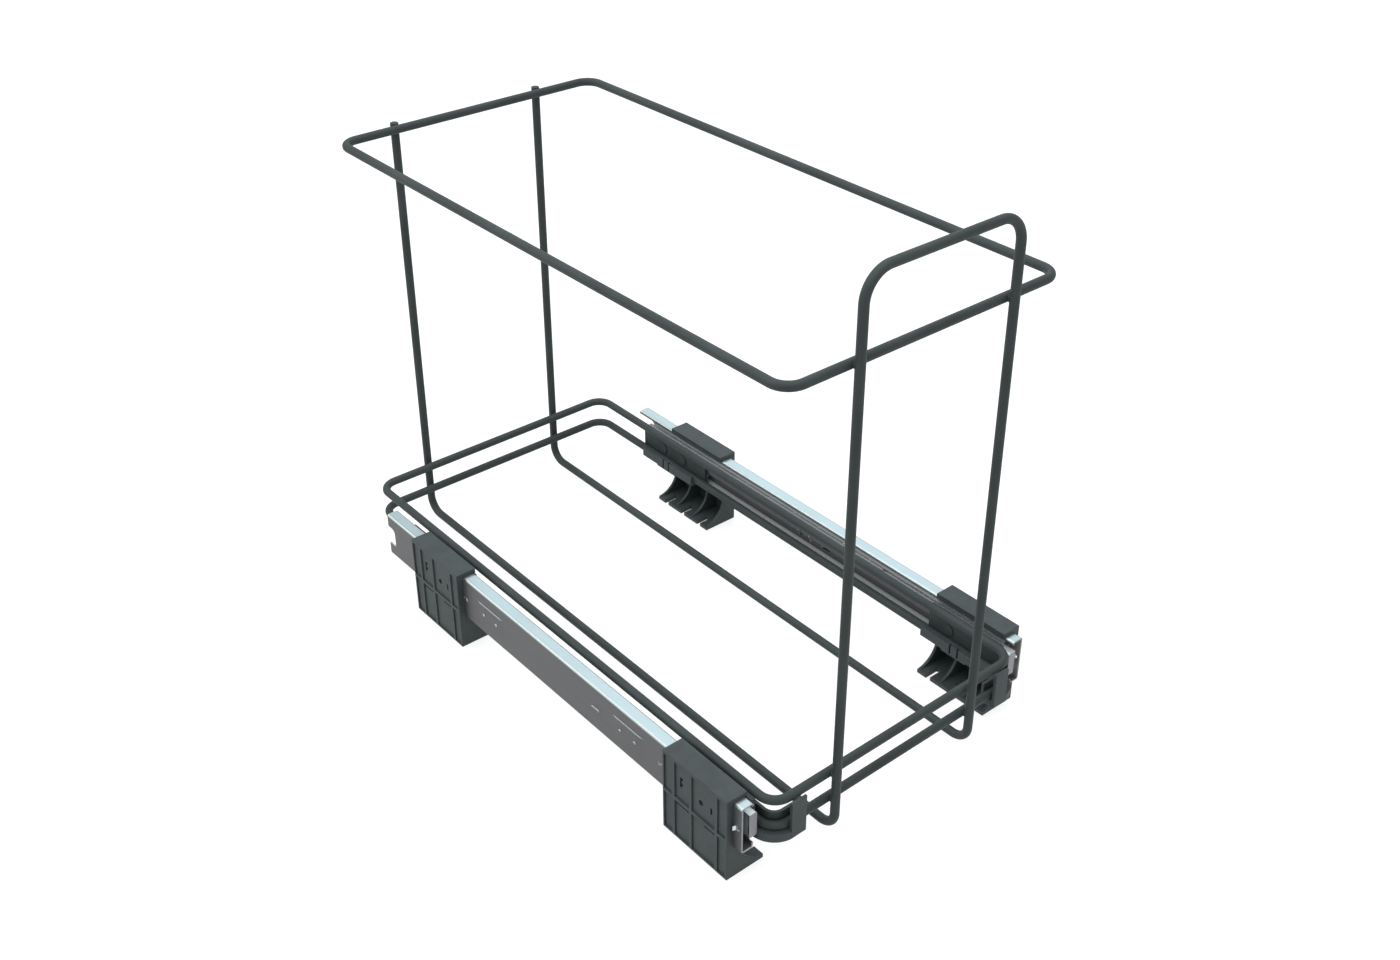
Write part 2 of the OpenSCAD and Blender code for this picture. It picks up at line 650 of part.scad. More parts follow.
// Front carrier: the same clip, with a flange and a wall that follow the ring's front corner
// into a short trough behind a front plate
module front_carrier() {
  out_r = inner_x - corner_x;
  wall_r = corner_r - bore_r - clip_t;
  wall_y = -corner_y - wall_r;
  front = -corner_y - out_r;
  color(plastic_colour) difference() {
    union() {
      block([plate_x, -corner_y, clip_bottom], [inner_x, front_y1, front_top]);
      ring_clip(-corner_y, front_y1, front_finger_y);
      translate([corner_x, -corner_y, 0]) rotate([0, 0, -90]) rotate_extrude(angle = 90) {
        translate([wall_r, flange_z]) square([out_r - wall_r, flange_h]);
        translate([wall_r, flange_z]) square([clip_t, corner_top - flange_z]);
      }
      block([corner_x + wall_r, -corner_y, clip_bottom + clip_relief],
            [corner_x + wall_r + clip_t, corner_wall_l - corner_y, corner_top]);
      block([corner_x - front_wing, front, flange_z], [corner_x, wall_y, flange_z + flange_h]);
      block([corner_x - front_wing, wall_y - clip_t, flange_z], [corner_x, wall_y, corner_top]);
      block([corner_x - front_wing, front, flange_z],
            [corner_x + block_in, front + front_plate_t, front_top]);
    }
    translate([corner_x, -corner_y, lower_ring_z]) rotate([0, 0, -90]) rotate_extrude(angle = 90)
      translate([corner_r, 0]) circle(r = bore_r);
    translate([corner_x - front_wing - past, -half_l, lower_ring_z]) rotate([0, 90, 0])
      cylinder(r = bore_r, h = front_wing + past);
    carrier_holes();
  }
}

// Two pins hold each carrier to its inner rail
module carrier_pins() {
  head_x = plate_x - pin_proud;
  web_end = inner_x + sheet_t;
  color(plastic_colour) for (side = [0, 1], y = pin_places()) mirror([side, 0, 0]) {
    pin_hole(y, head_x, head_x + pin_head_h, pin_head_d / 2);
    pin_hole(y, head_x, web_end, pin_d / 2);
    pin_hole(y, web_end, web_end + pin_head_h, (pin_d + pin_head_d) / 4);
  }
}

handle_wire();
top_rim();
upper_ring();
lower_ring();
weld_beads();
on_left() outer_rail();  // left_outer_rail
outer_rail();  // right_outer_rail
on_left() middle_rail();  // left_middle_rail
middle_rail();  // right_middle_rail
on_left() inner_rail();  // left_inner_rail
inner_rail();  // right_inner_rail
on_left() outer_cage();  // left_outer_cage
outer_cage();  // right_outer_cage
on_left() inner_cage();  // left_inner_cage
inner_cage();  // right_inner_cage
on_left() outer_balls();  // left_outer_balls
outer_balls();  // right_outer_balls
on_left() inner_balls();  // left_inner_balls
inner_balls();  // right_inner_balls
on_left() inner_stop();  // left_inner_stop
inner_stop();  // right_inner_stop
on_left() bracket(bracket_y[0]);  // left_front_bracket
on_left() bracket(bracket_y[1]);  // left_rear_bracket
bracket(bracket_y[0]);  // right_front_bracket
bracket(bracket_y[1]);  // right_rear_bracket
on_left() front_carrier();  // left_front_carrier
on_left() rear_carrier();  // left_rear_carrier
front_carrier();  // right_front_carrier
rear_carrier();  // right_rear_carrier
carrier_pins();
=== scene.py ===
import json
import math

import bmesh
import bpy
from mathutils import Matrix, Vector


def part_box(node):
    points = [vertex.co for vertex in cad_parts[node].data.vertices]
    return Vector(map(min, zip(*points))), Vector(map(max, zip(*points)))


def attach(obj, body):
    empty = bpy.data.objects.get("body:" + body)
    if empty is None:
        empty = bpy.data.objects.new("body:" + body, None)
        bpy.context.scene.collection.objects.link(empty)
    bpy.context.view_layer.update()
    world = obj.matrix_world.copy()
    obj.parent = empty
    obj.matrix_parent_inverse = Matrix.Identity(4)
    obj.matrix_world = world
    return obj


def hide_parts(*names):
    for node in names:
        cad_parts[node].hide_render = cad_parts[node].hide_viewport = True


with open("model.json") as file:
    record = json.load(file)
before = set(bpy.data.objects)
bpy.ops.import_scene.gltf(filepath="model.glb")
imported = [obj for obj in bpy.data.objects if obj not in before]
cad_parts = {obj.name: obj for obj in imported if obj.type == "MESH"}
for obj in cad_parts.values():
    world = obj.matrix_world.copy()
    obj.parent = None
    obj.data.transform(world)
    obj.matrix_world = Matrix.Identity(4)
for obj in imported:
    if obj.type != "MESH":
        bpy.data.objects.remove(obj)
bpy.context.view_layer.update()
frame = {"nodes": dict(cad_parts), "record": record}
nodes = frame["nodes"]
bodyOf = {node: body for body, held in frame["record"]["behaviour"]["bodies"].items() for node in held}
mm = 0.001
print("frame loaded,", len(nodes), "nodes")


def linear(hexColour):
    parts = [int(hexColour[i:i + 2], 16) / 255 for i in (1, 3, 5)]
    return [p / 12.92 if p <= 0.04045 else ((p + 0.055) / 1.055) ** 2.4 for p in parts] + [1.0]


def addNode(tree, kind, settings=None, inputs=None):
    node = tree.nodes.new(kind)
    for name, value in (settings or {}).items():
        setattr(node, name, value)
    for name, value in (inputs or {}).items():
        if isinstance(value, bpy.types.NodeSocket):
            tree.links.new(value, node.inputs[name])
        else:
            node.inputs[name].default_value = value
    return node


# Short forms of the nodes that the materials use often. Each gives back the socket to link from
def doMath(tree, operation, *values):
    node = addNode(tree, "ShaderNodeMath", {"operation": operation}, dict(enumerate(values)))
    return node.outputs["Value"]


def smoothStep(tree, value, start, full):
    node = addNode(tree, "ShaderNodeMapRange", {"interpolation_type": "SMOOTHSTEP"}, {
        "Value": value, "From Min": start, "From Max": full})
    return node.outputs["Result"]


def rescale(tree, value, low, high):
    node = addNode(tree, "ShaderNodeMapRange", inputs={"Value": value, "To Min": low, "To Max": high})
    return node.outputs["Result"]


def noise(tree, place, size, detail, distortion=0.0):
    node = addNode(tree, "ShaderNodeTexNoise", inputs={
        "Vector": place, "Scale": 1 / size, "Detail": detail, "Distortion": distortion})
    return node.outputs["Fac"]


def mixColour(tree, share, first, second):
    node = addNode(tree, "ShaderNodeMix", {"data_type": "RGBA"}, {
        "Factor": share, "A": first, "B": second})
    return node.outputs["Result"]


def twoTones(tree, value, look):
    node = addNode(tree, "ShaderNodeValToRGB", inputs={"Fac": value})
    for stop, position, colour in zip(node.color_ramp.elements, look["toneAt"], ("colour", "pale")):
        stop.position, stop.color = position, linear(look[colour])
    return node.outputs["Color"]


def bumpFrom(tree, height, look, invert=False):
    node = addNode(tree, "ShaderNodeBump", {"invert": invert}, {
        "Height": height, "Strength": look["bump"], "Distance": look["bumpDepth"]})
    return node.outputs["Normal"]


def splitXyz(tree, vector):
    return addNode(tree, "ShaderNodeSeparateXYZ", inputs={"Vector": vector}).outputs


def newMaterial(name):
    material = bpy.data.materials.new(name)
    material.use_nodes = True
    material.node_tree.nodes.clear()
    return material, material.node_tree


def setSurface(tree, inputs):
    skin = addNode(tree, "ShaderNodeBsdfPrincipled", inputs=inputs)
    addNode(tree, "ShaderNodeOutputMaterial", inputs={"Surface": skin.outputs["BSDF"]})


# Anthracite powder coat on drawn steel wire: satin, an even dark grey with a slight
# orange peel, a little paler where the cured film is thin.
coat = {
    "colour": "#333939", "pale": "#3b4242", "toneAt": (0.35, 0.7),
    "cloudSize": 40 * mm, "cloudDetail": 3.0,
    "roughness": (0.48, 0.62), "shine": 0.22,
    "peelSize": 1.6 * mm, "peelDetail": 2.0, "bump": 0.25, "bumpDepth": 0.06 * mm,
}


def powderCoat():
    material, tree = newMaterial("anthracitePowderCoat")
    place = addNode(tree, "ShaderNodeTexCoord").outputs["Object"]
    cloud = noise(tree, place, coat["cloudSize"], coat["cloudDetail"])
    peel = noise(tree, place, coat["peelSize"], coat["peelDetail"])
    setSurface(tree, {
        "Base Color": twoTones(tree, cloud, coat), "Roughness": rescale(tree, peel, *coat["roughness"]),
        "Normal": bumpFrom(tree, peel, coat), "Specular IOR Level": coat["shine"]})
    return material


# Glass filled polyamide, injection moulded in a spark eroded tool: matt, a fine pebbled
# grain and faint flow clouds. The real grain is 0.3 mm; it is drawn at 0.9 mm so it shows.
# The floors of the blind marks in the brackets' outer faces are painted dark, a painted shade.
moulding = {
    "colour": "#353c3d", "pale": "#3e4647", "toneAt": (0.3, 0.75),
    "flowSize": 14 * mm, "flowDetail": 4.0, "flowTwist": 0.8, "roughness": (0.51, 0.66), "shine": 0.35,
    "grainSize": 0.9 * mm, "grainBlend": 0.6, "bump": 0.18, "bumpDepth": 0.05 * mm,
    "pitShade": "#15191a", "pitAt": 126.8 * mm, "pitReach": 0.3 * mm, "pitFacing": 100 * mm,
}
# Acetal, moulded smooth and slightly waxy, with faint flow clouds. Its mid grey is paler than its own dark
# tone, a painted fill light for its shaded place inside the rail.
acetal = {
    **moulding, "colour": "#788685", "pale": "#84918f", "roughness": (0.37, 0.52),
    "grainSize": 1.4 * mm, "flowSize": 10 * mm,
}


def mouldedPlastic(name, look):
    material, tree = newMaterial(name)
    coords = addNode(tree, "ShaderNodeTexCoord")
    place = coords.outputs["Object"]
    facing, spot = splitXyz(tree, coords.outputs["Normal"]), splitXyz(tree, place)
    # painted shade: the floors of the blind marks in the brackets' outer faces are painted dark
    deep = doMath(tree, "COMPARE", doMath(tree, "ABSOLUTE", spot["X"]), look["pitAt"], look["pitReach"])
    outwards = doMath(tree, "MULTIPLY", spot["X"], facing["X"])
    pitShade = doMath(tree, "MULTIPLY", deep, doMath(tree, "GREATER_THAN", outwards, look["pitFacing"]))
    flow = noise(tree, place, look["flowSize"], look["flowDetail"], look["flowTwist"])
    pebbles = addNode(tree, "ShaderNodeTexVoronoi", {"feature": "SMOOTH_F1"}, {
        "Vector": place, "Scale": 1 / look["grainSize"], "Smoothness": look["grainBlend"]})
    grain = pebbles.outputs["Distance"]
    setSurface(tree, {
        "Base Color": mixColour(tree, pitShade, twoTones(tree, flow, look), linear(look["pitShade"])),
        "Roughness": rescale(tree, grain, *look["roughness"]),
        "Normal": bumpFrom(tree, grain, look, invert=True), "Specular IOR Level": look["shine"]})
    return material


# Zinc plated cold rolled strip: satin metal with fine rolling lines along the rail. The webs keep
# the dull grey of the rolls; faces that look in towards the middle are painted paler, a painted fill
# light, and faces that look down are painted darker, a painted shade. Faces that look up are painted
# lighter, a painted highlight, and the flange on top is smoother, fully metallic and painted pale sky
# blue, a painted reflection. The sawn ends are plain grey, and what the stamping tool sheared or bent
# out is bare steel painted near white, partly a painted highlight. A step is the part of the
# normal, or the distance, over which one of these tones fades in.
zinc = {
    "web": "#5b5b5c", "inside": "#a39f9b", "under": "#48494b", "raised": "#d3d9db", "flange": "#b5c1c1",
    "cut": "#94949a", "rubbedAndSheen": "#f2f4f5",
    "webRough": 0.42, "flangeRough": 0.24, "webMetal": 0.4, "flangeMetal": 1.0,
    "upStep": (0.02, 0.4), "downStep": (-0.05, -0.5), "endStep": (0.3, 0.8), "squareTo": 0.2,
    "raisedFrom": 30 * mm, "flangeFrom": 57 * mm, "insideFrom": 118 * mm, "endFrom": 150 * mm,
    "grooveAt": 0, "grooveStep": (3.0 * mm, 1.8 * mm),
    "lineGap": 0.7 * mm, "lineRun": 120 * mm, "lineDetail": 4.0, "lineGloss": 0.16,
    "bump": 0.12, "bumpDepth": 0.03 * mm,
    "cloudSize": 60 * mm, "cloudDetail": 5.0, "cloudSpan": (0.25, 0.75), "cloudTone": (0.95, 1.03),
}
# The carriers' rail has one dull tone on both faces; its top is painted near white, a painted highlight, and
# a band round its groove is painted darker, a painted shade
innerZinc = {
    **zinc, "web": "#6e6f71", "inside": "#6e6f71", "under": "#414244", "raised": "#8b8f91",
    "flange": "#e6ebee", "flangeRough": 0.4, "flangeMetal": 0.4, "flangeFrom": 50 * mm, "grooveAt": 38.9 * mm,
}
# The parts that run inside the rails get paler copies of the zinc tones, a painted fill light for their
# shaded place
racewayZinc = {**zinc, "web": "#9a9d9f", "inside": "#9a9d9f", "under": "#858789", "raised": "#b4b8bb"}


def zincPlate(name, look):
    material, tree = newMaterial(name)
    coords = addNode(tree, "ShaderNodeTexCoord")
    place = coords.outputs["Object"]
    facing, spot = splitXyz(tree, coords.outputs["Normal"]), splitXyz(tree, place)
    sideways, endways = doMath(tree, "ABSOLUTE", facing["X"]), doMath(tree, "ABSOLUTE", facing["Y"])
    across, along = doMath(tree, "ABSOLUTE", spot["X"]), doMath(tree, "ABSOLUTE", spot["Y"])

    aboveLip = doMath(tree, "GREATER_THAN", spot["Z"], look["raisedFrom"])
    # painted highlight: faces that look up, above the lip height, are painted lighter
    upwards = doMath(tree, "MULTIPLY", smoothStep(tree, facing["Z"], *look["upStep"]), aboveLip)
    # painted shade: faces that look down are painted darker
    downwards = smoothStep(tree, facing["Z"], *look["downStep"])
    crest = doMath(tree, "GREATER_THAN", spot["Z"], look["flangeFrom"])
    # painted reflection: the rail's top gets the pale flange tone, on top of its real smoother, fully
    # metallic finish
    flangeTop = doMath(tree, "MULTIPLY", upwards, crest)
    # painted shade: a band round the groove height is painted darker
    grooveGap = doMath(tree, "ABSOLUTE", doMath(tree, "SUBTRACT", spot["Z"], look["grooveAt"]))
    paintedGrooveShade = smoothStep(tree, grooveGap, *look["grooveStep"])
    outwards = doMath(tree, "MULTIPLY", spot["X"], facing["X"])
    # painted fill light: outer rail faces beyond insideFrom that look towards the middle are painted paler
    within = doMath(tree, "MULTIPLY", doMath(tree, "LESS_THAN", outwards, 0.0),
                    doMath(tree, "GREATER_THAN", across, look["insideFrom"]))
    sheared = smoothStep(tree, endways, *look["endStep"])
    sawn = doMath(tree, "MULTIPLY", doMath(tree, "LESS_THAN", sideways, look["squareTo"]),
                  doMath(tree, "GREATER_THAN", along, look["endFrom"]))

    colour = linear(look["web"])
    for share, tone in ((within, "inside"), (downwards, "under"), (upwards, "raised"), (paintedGrooveShade, "under"),
                        (flangeTop, "flange")):
        colour = mixColour(tree, share, colour, linear(look[tone]))
    # bare sheared steel, painted near white, partly a painted highlight; sawn ends stay plain grey
    stamped = mixColour(tree, sawn, linear(look["rubbedAndSheen"]), linear(look["cut"]))
    colour = mixColour(tree, sheared, colour, stamped)
    (cloudLow, cloudHigh), (toneLow, toneHigh) = look["cloudSpan"], look["cloudTone"]
    mottle = addNode(tree, "ShaderNodeMapRange", inputs={
        "Value": noise(tree, place, look["cloudSize"], look["cloudDetail"]),
        "From Min": cloudLow, "From Max": cloudHigh, "To Min": toneLow, "To Max": toneHigh})
    mottled = addNode(tree, "ShaderNodeVectorMath", {"operation": "SCALE"}, {
        0: colour, "Scale": mottle.outputs["Result"]})

    stretched = addNode(tree, "ShaderNodeMapping", inputs={
        "Vector": place, "Scale": (1 / look["lineGap"], 1 / look["lineRun"], 1 / look["lineGap"])})
    lines = noise(tree, stretched.outputs["Vector"], 1.0, look["lineDetail"])
    dull = rescale(tree, flangeTop, look["webRough"], look["flangeRough"])
    setSurface(tree, {
        "Base Color": mottled.outputs["Vector"],
        "Metallic": rescale(tree, flangeTop, look["webMetal"], look["flangeMetal"]),
        "Roughness": doMath(tree, "MULTIPLY_ADD", lines, look["lineGloss"], dull),
        "Normal": bumpFrom(tree, lines, look)})
    return material


# Hardened bearing steel, tumbled and polished, under a thin film of grease that blurs it in places.
bearing = {"colour": "#d6d8dc", "roughness": (0.12, 0.32), "filmSize": 1.2 * mm, "filmDetail": 2.0}


def bearingSteel():
    material, tree = newMaterial("polishedBearingSteel")
    place = addNode(tree, "ShaderNodeTexCoord").outputs["Object"]
    film = noise(tree, place, bearing["filmSize"], bearing["filmDetail"])
    setSurface(tree, {
        "Base Color": linear(bearing["colour"]), "Metallic": 1.0,
        "Roughness": rescale(tree, film, *bearing["roughness"])})
    return material


coatMaterial = powderCoat()
plasticMaterial = mouldedPlastic("mouldedPolyamide", moulding)
stopMaterial = mouldedPlastic("mouldedAcetal", acetal)
outerMaterial = zincPlate("zincPlatedStrip", zinc)
innerMaterial = zincPlate("zincPlatedInnerStrip", innerZinc)
racewayMaterial = zincPlate("paintedFillZincPlate", racewayZinc)
ballMaterial = bearingSteel()
print("materials made")


def newTree(name, given, made):
    tree = bpy.data.node_groups.new(name, "GeometryNodeTree")
    for label, kind in given.items():
        tree.interface.new_socket(label, in_out="INPUT", socket_type="NodeSocket" + kind)
    tree.interface.new_socket(made, in_out="OUTPUT", socket_type="NodeSocketGeometry")
    return tree, addNode(tree, "NodeGroupInput").outputs


def growFrom(tree, points, lines, values):
    # the plain mesh that the tree makes of the points and lines
    seed = bpy.data.meshes.new("seed")
    seed.from_pydata(points, lines, [])
    holder = bpy.data.objects.new("seed", seed)
    bpy.context.collection.objects.link(holder)
    grown = holder.modifiers.new("grown", "NODES")
    grown.node_group = tree
    for item in tree.interface.items_tree:
        if item.in_out == "INPUT" and item.name in values:
            grown[item.identifier] = values[item.name]
    graph = bpy.context.evaluated_depsgraph_get()
    mesh = bpy.data.meshes.new_from_object(
        holder.evaluated_get(graph), preserve_all_data_layers=True, depsgraph=graph)
    bpy.data.objects.remove(holder)
    return mesh


def addPiece(name, mesh, slot, *stoodFor):
    piece = bpy.data.objects.new(name, mesh)
    bpy.context.collection.objects.link(piece)
    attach(piece, bodyOf[stoodFor[0]])
    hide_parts(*stoodFor)
    return piece


# Wires: one path for each, swept by the same tree
wire = {
    "radius": 3 * mm, "halfWidth": 106 * mm, "halfLength": 224 * mm, "cornerRadius": 12 * mm,
    "rimHeight": 334 * mm, "upperHeight": 56 * mm, "lowerHeight": 36 * mm,
    "legX": 60 * mm, "legY": 230 * mm, "handleHeight": 387 * mm, "handleRadius": 18 * mm,
    "runHeight": 14 * mm, "runRadius": 12 * mm, "bendSteps": 18, "sides": 28,
    "endChamfer": 0.5 * mm, "endSegments": 3, "endAngle": math.radians(60),
}
east, north, up = Vector((1, 0, 0)), Vector((0, 1, 0)), Vector((0, 0, 1))


def bentWireTree():
    tree, given = newTree("bentWire", {
        "Path": "Geometry", "Wire Radius": "Float", "Sides": "Int", "Coating": "Material"}, "Wire")
    line = addNode(tree, "GeometryNodeMeshToCurve", inputs={"Mesh": given["Path"]})
    section = addNode(tree, "GeometryNodeCurvePrimitiveCircle", inputs={
        "Resolution": given["Sides"], "Radius": given["Wire Radius"]})
    tube = addNode(tree, "GeometryNodeCurveToMesh", inputs={
        "Curve": line.outputs["Curve"], "Profile Curve": section.outputs["Curve"], "Fill Caps": True})
    solid = addNode(tree, "GeometryNodeRealizeInstances", inputs={"Geometry": tube.outputs["Mesh"]})
    coated = addNode(tree, "GeometryNodeSetMaterial", inputs={
        "Geometry": solid.outputs["Geometry"], "Material": given["Coating"]})
    addNode(tree, "NodeGroupOutput", inputs={"Wire": coated.outputs["Geometry"]})
    return tree


def bend(centre, a, b, radius):
    # points of a quarter turn round the centre, from direction a to direction b
    steps = wire["bendSteps"]
    turns = [math.pi / 2 * i / steps for i in range(steps + 1)]
    return [centre + radius * (math.cos(t) * a + math.sin(t) * b) for t in turns]


def ringPath(height):
    x, y, r = wire["halfWidth"], wire["halfLength"], wire["cornerRadius"]
    corners = ((1, 1, east, north), (-1, 1, north, -east), (-1, -1, -east, -north), (1, -1, -north, east))
    points = []
    for sx, sy, a, b in corners:
        points += bend(Vector((sx * (x - r), sy * (y - r), height)), a, b, r)
    return points


def handlePath():
    x, y, r = wire["legX"], wire["legY"], wire["runRadius"]
    low, high, h = wire["runHeight"], wire["handleHeight"], wire["handleRadius"]
    rightHalf = [Vector((x, y, wire["rimHeight"] + wire["radius"]))]
    rightHalf += bend(Vector((x, y - r, low + r)), north, -up, r)
    rightHalf += bend(Vector((x, r - y, low + r)), -up, -north, r)
    rightHalf += bend(Vector((x - h, -y, high - h)), east, up, h)
    return rightHalf + [Vector((-p.x, p.y, p.z)) for p in reversed(rightHalf)]


def sweepWire(tree, node, points, closed):
    lines = [(i, i + 1) for i in range(len(points) - 1)]
    if closed:
        lines.append((len(points) - 1, 0))
    mesh = growFrom(tree, points, lines, {
        "Wire Radius": wire["radius"], "Sides": wire["sides"], "Coating": coatMaterial})
    mesh.shade_smooth()
    piece = addPiece(node + "_coated", mesh, "coated_wire", node)
    if not closed:  # the sawn ends of the uprights
        broken = piece.modifiers.new("sawnEnds", "BEVEL")
        broken.width, broken.segments = wire["endChamfer"], wire["endSegments"]
        broken.limit_method, broken.angle_limit = "ANGLE", wire["endAngle"]
        broken.harden_normals = True


wireTree = bentWireTree()
for ring, height in (("top_rim", "rimHeight"), ("upper_ring", "upperHeight"),
                     ("lower_ring", "lowerHeight")):
    sweepWire(wireTree, ring, ringPath(wire[height]), True)
sweepWire(wireTree, "handle_wire", handlePath(), False)
print("wires swept")

# Resistance welds: a low irregular bead squeezed out where each ring crosses a leg or an upright
weld = {
    "size": (2.3 * mm, 1.5 * mm, 2.3 * mm), "subdivisions": 4,
    "waver": 0.35 * mm, "waverSize": 2 * mm, "waverDetail": 1.0, "seed": 7,
}


def weldTree():
    tree, given = newTree("squeezedWeld", {
        "Crossings": "Geometry", "Bead Size": "Vector", "Waver": "Float", "Waver Size": "Float",
        "Seed": "Float", "Coating": "Material"}, "Welds")
    ball = addNode(tree, "GeometryNodeMeshIcoSphere", inputs={
        "Radius": 1.0, "Subdivisions": weld["subdivisions"]})
    beads = addNode(tree, "GeometryNodeInstanceOnPoints", inputs={
        "Points": given["Crossings"], "Instance": ball.outputs["Mesh"], "Scale": given["Bead Size"]})
    solid = addNode(tree, "GeometryNodeRealizeInstances", inputs={"Geometry": beads.outputs["Instances"]})
    uneven = addNode(tree, "ShaderNodeTexNoise", {"noise_dimensions": "4D"}, {
        "Scale": doMath(tree, "DIVIDE", 1.0, given["Waver Size"]), "W": given["Seed"],
        "Detail": weld["waverDetail"]})
    centred = doMath(tree, "SUBTRACT", uneven.outputs["Fac"], 0.5)
    offset = addNode(tree, "ShaderNodeVectorMath", {"operation": "SCALE"}, {
        0: addNode(tree, "GeometryNodeInputNormal").outputs["Normal"],
        "Scale": doMath(tree, "MULTIPLY", centred, given["Waver"])})
    wavy = addNode(tree, "GeometryNodeSetPosition", inputs={
        "Geometry": solid.outputs["Geometry"], "Offset": offset.outputs["Vector"]})
    coated = addNode(tree, "GeometryNodeSetMaterial", inputs={
        "Geometry": wavy.outputs["Geometry"], "Material": given["Coating"]})
    addNode(tree, "NodeGroupOutput", inputs={"Welds": coated.outputs["Geometry"]})
    return tree


crossings = [(sx * wire["legX"], sy * (wire["halfLength"] + wire["radius"]), z)
             for sx in (-1, 1) for sy in (-1, 1)
             for z in (wire["lowerHeight"], wire["upperHeight"], wire["rimHeight"])]
weldMesh = growFrom(weldTree(), crossings, [], {
    "Bead Size": weld["size"], "Waver": weld["waver"], "Waver Size": weld["waverSize"],
    "Seed": weld["seed"], "Coating": coatMaterial})
weldMesh.shade_smooth()
addPiece("squeezed_welds", weldMesh, "coated_wire", "weld_beads")
print("welds placed at", len(crossings), "crossings")


# Rails, brackets and carriers keep their solids' shape. The long outside edges of the mouldings
# get the radius that the tool leaves, sheet edges stay as cut
edges = {
    "moulded": 0.5 * mm, "segments": 3, "longFrom": 8 * mm, "sharpFrom": math.radians(30),
    "flatTo": math.radians(0.5), "same": 0.001 * mm, "onBox": 0.01 * mm,
}


def sidesTouched(edge, box):
    # how many sides of the box the edge lies in
    a, b = (end.co for end in edge.verts)
    level = [abs(a[i] - b[i]) < edges["same"] for i in range(3)]
    near = [min(abs(a[i] - corner[i]) for corner in box) < edges["onBox"] for i in range(3)]
    return sum(flat and close for flat, close in zip(level, near))


def finishNode(node, material, slot, radius=0):
    mesh = nodes[node].data.copy()
    shape = bmesh.new()
    shape.from_mesh(mesh)
    bmesh.ops.remove_doubles(shape, verts=shape.verts, dist=edges["same"])
    bmesh.ops.dissolve_limit(shape, angle_limit=edges["flatTo"], verts=shape.verts, edges=shape.edges)
    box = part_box(node)
    share = shape.edges.layers.float.new("bevel_weight_edge")
    for edge in shape.edges:
        edge.smooth = edge.calc_face_angle(0) < edges["sharpFrom"]
        isLong = edge.calc_length() > edges["longFrom"]
        if radius and not edge.smooth and isLong and sidesTouched(edge, box) >= 2:
            edge[share] = 1.0
            edge.smooth = True
    for face in shape.faces:
        face.smooth = True
    shape.to_mesh(mesh)
    shape.free()
    if "custom_normal" in mesh.attributes:
        mesh.attributes.remove(mesh.attributes["custom_normal"])
    mesh.materials.clear()
    mesh.materials.append(material)
    piece = addPiece(node + "_finished", mesh, slot, node)
    if radius:
        soft = piece.modifiers.new("softEdges", "BEVEL")
        soft.width, soft.segments, soft.limit_method = radius, edges["segments"], "WEIGHT"
        soft.use_clamp_overlap = soft.loop_slide = False
        soft.harden_normals = True
    else:
        flat = piece.modifiers.new("flatFaces", "WEIGHTED_NORMAL")
        flat.keep_sharp = True


for side in ("left", "right"):
    for part, finish in (("outer", outerMaterial), ("middle", racewayMaterial), ("inner", innerMaterial)):
        finishNode(f"{side}_{part}_rail", finish, "zinc_steel")
    for part in ("front_bracket", "front_carrier", "rear_bracket", "rear_carrier"):
        finishNode(f"{side}_{part}", plasticMaterial, "grey_plastic", edges["moulded"])
    finishNode(f"{side}_inner_stop", stopMaterial, "stop_plastic")
    # the cages and balls show their solids as they are
    for part, finish in (("outer_cage", racewayMaterial), ("inner_cage", racewayMaterial),
                         ("outer_balls", ballMaterial), ("inner_balls", ballMaterial)):
        nodes[f"{side}_{part}"].data.materials.clear()
        nodes[f"{side}_{part}"].data.materials.append(finish)
finishNode("carrier_pins", plasticMaterial, "grey_plastic")
print("rails, brackets and carriers finished")


# Pale floor: white to the camera and in reflections, with a part of it left to take the shadow
floor = {"size": 8.0, "drop": 0.3 * mm, "colour": "#bcbdbe", "glow": 0.78, "shadowPart": 0.3}


def paleFloor():
    material, tree = newMaterial("paleStudioFloor")
    path = addNode(tree, "ShaderNodeLightPath").outputs
    seen = doMath(tree, "ADD", path["Is Camera Ray"], path["Is Glossy Ray"])
    shown = addNode(tree, "ShaderNodeMath", {"operation": "ADD", "use_clamp": True}, {
        0: seen, 1: path["Is Transmission Ray"]})
    matt = addNode(tree, "ShaderNodeBsdfDiffuse", inputs={"Color": linear(floor["colour"])})
    white = addNode(tree, "ShaderNodeEmission", inputs={"Color": (1, 1, 1, 1), "Strength": floor["glow"]})
    faint = addNode(tree, "ShaderNodeBsdfDiffuse", inputs={"Color": [floor["shadowPart"]] * 3 + [1]})
    bright = addNode(tree, "ShaderNodeAddShader", inputs={
        0: white.outputs["Emission"], 1: faint.outputs["BSDF"]})
    both = addNode(tree, "ShaderNodeMixShader", inputs={
        0: shown.outputs["Value"], 1: matt.outputs["BSDF"], 2: bright.outputs["Shader"]})
    addNode(tree, "ShaderNodeOutputMaterial", inputs={"Surface": both.outputs["Shader"]})
    return material


half = floor["size"] / 2
floorCorners = [(sx * half, sy * half, -floor["drop"]) for sx, sy in ((-1, -1), (1, -1), (1, 1), (-1, 1))]
floorMesh = bpy.data.meshes.new("studio_floor")
floorMesh.from_pydata(floorCorners, [], [(0, 1, 2, 3)])
floorMesh.materials.append(paleFloor())
floorPiece = bpy.data.objects.new("studio_floor", floorMesh)
bpy.context.collection.objects.link(floorPiece)

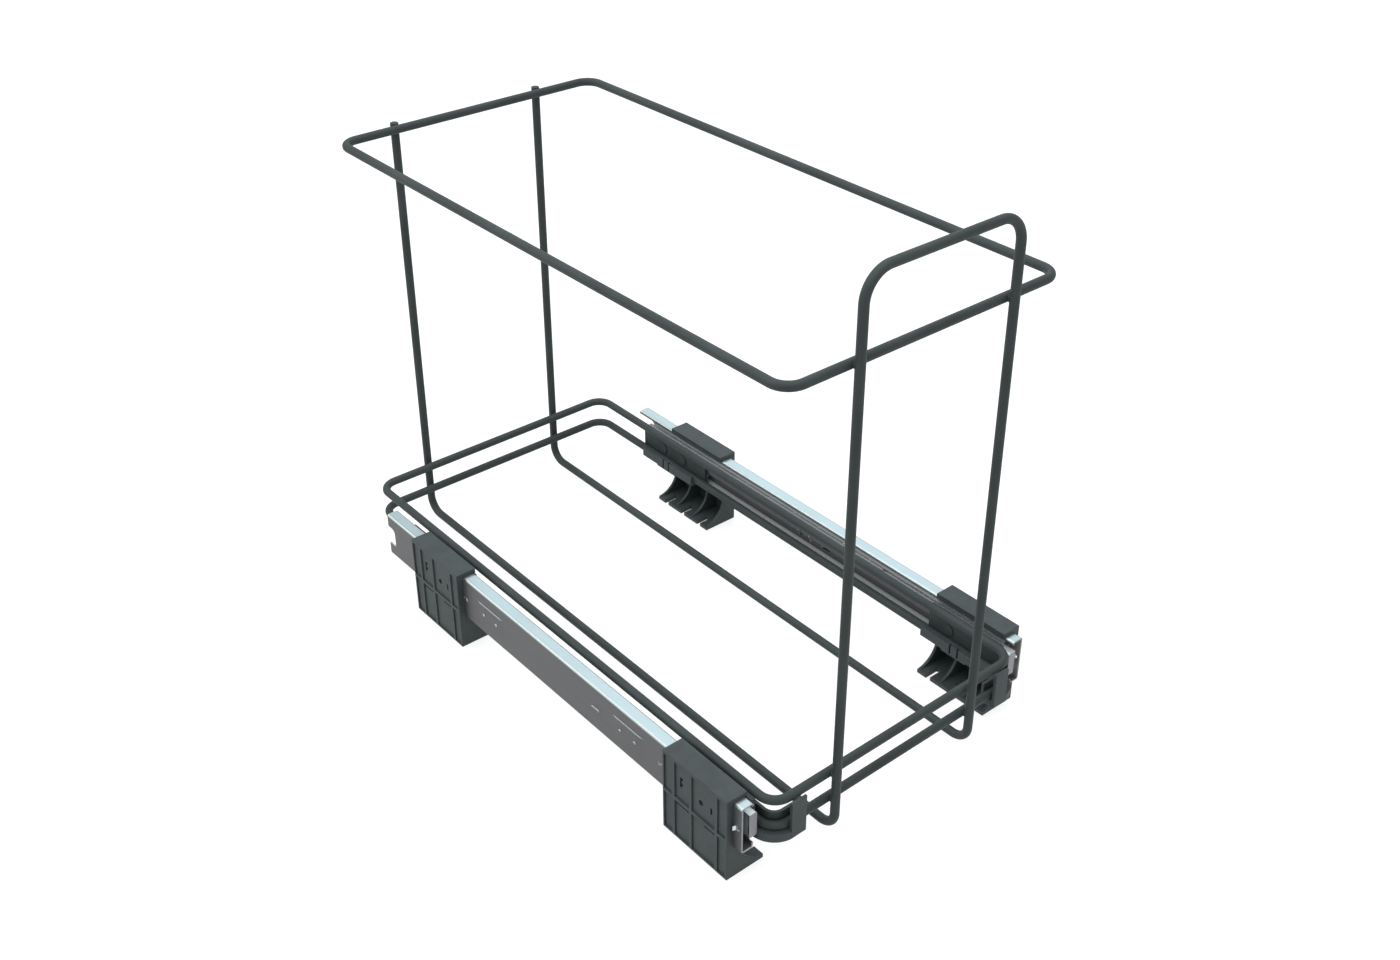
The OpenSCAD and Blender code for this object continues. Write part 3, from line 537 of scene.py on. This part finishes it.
# Studio light: an even room, one softbox overhead and two panels behind, which the steel mirrors.
# Places and sizes are in metres
room = {"colour": "#f4f8fa", "strength": 0.64}
lampAim = Vector((0, 0, 0.1))
lamps = {
    "overhead": {"place": (-0.3, -0.2, 2.2), "size": (3.4, 3.4), "watts": 58, "colour": "#ffffff"},
    "backRight": {"place": (1.5, 1.6, 1.9), "size": (1.7, 1.7), "watts": 11, "colour": "#e2f2ff"},
    "backLeft": {"place": (-1.35, 1.5, 1.3), "size": (1.6, 1.3), "watts": 13, "colour": "#ffffff"},
}

world = bpy.data.worlds.new("studioRoom")
world.use_nodes = True
world.node_tree.nodes.clear()
glow = addNode(world.node_tree, "ShaderNodeBackground", inputs={
    "Color": linear(room["colour"]), "Strength": room["strength"]})
addNode(world.node_tree, "ShaderNodeOutputWorld", inputs={"Surface": glow.outputs["Background"]})
bpy.context.scene.world = world
for name, look in lamps.items():
    lamp = bpy.data.lights.new(name, "AREA")
    lamp.shape, lamp.energy = "RECTANGLE", look["watts"]
    lamp.size, lamp.size_y = look["size"]
    lamp.color = linear(look["colour"])[:3]
    holder = bpy.data.objects.new(name, lamp)
    holder.location = look["place"]
    holder.rotation_euler = (lampAim - Vector(look["place"])).to_track_quat("-Z", "Y").to_euler()
    bpy.context.collection.objects.link(holder)
print("studio lit with", len(lamps), "softboxes")

# Camera: solved from the straight wires, for a 1400 x 960 picture. The sensor is in mm, as Blender
# has it, the place in metres, the angles in degrees and the rest in the picture's pixels
view = {
    "place": (-0.58102, -0.72291, 0.72219), "tilt": 60.0, "turn": -40.0208, "sensor": 36, "nearest": 0.01,
    "focalPixels": 1592.1238, "middle": (699.3423, 406.4989), "picture": (1400, 960),
}
(pictureWidth, pictureHeight), (middleX, middleY) = view["picture"], view["middle"]
lens = bpy.data.cameras.new("photoView")
lens.sensor_width = view["sensor"]
lens.lens = view["sensor"] * view["focalPixels"] / pictureWidth
lens.shift_x = (pictureWidth / 2 - middleX) / pictureWidth
lens.shift_y = (middleY - pictureHeight / 2) / pictureWidth
lens.clip_start = view["nearest"]
camera = bpy.data.objects.new("photoView", lens)
camera.location = view["place"]
camera.rotation_euler = (math.radians(view["tilt"]), 0, math.radians(view["turn"]))
bpy.context.collection.objects.link(camera)
bpy.context.scene.camera = camera
bpy.context.scene.view_settings.view_transform = "Standard"
print("camera set")
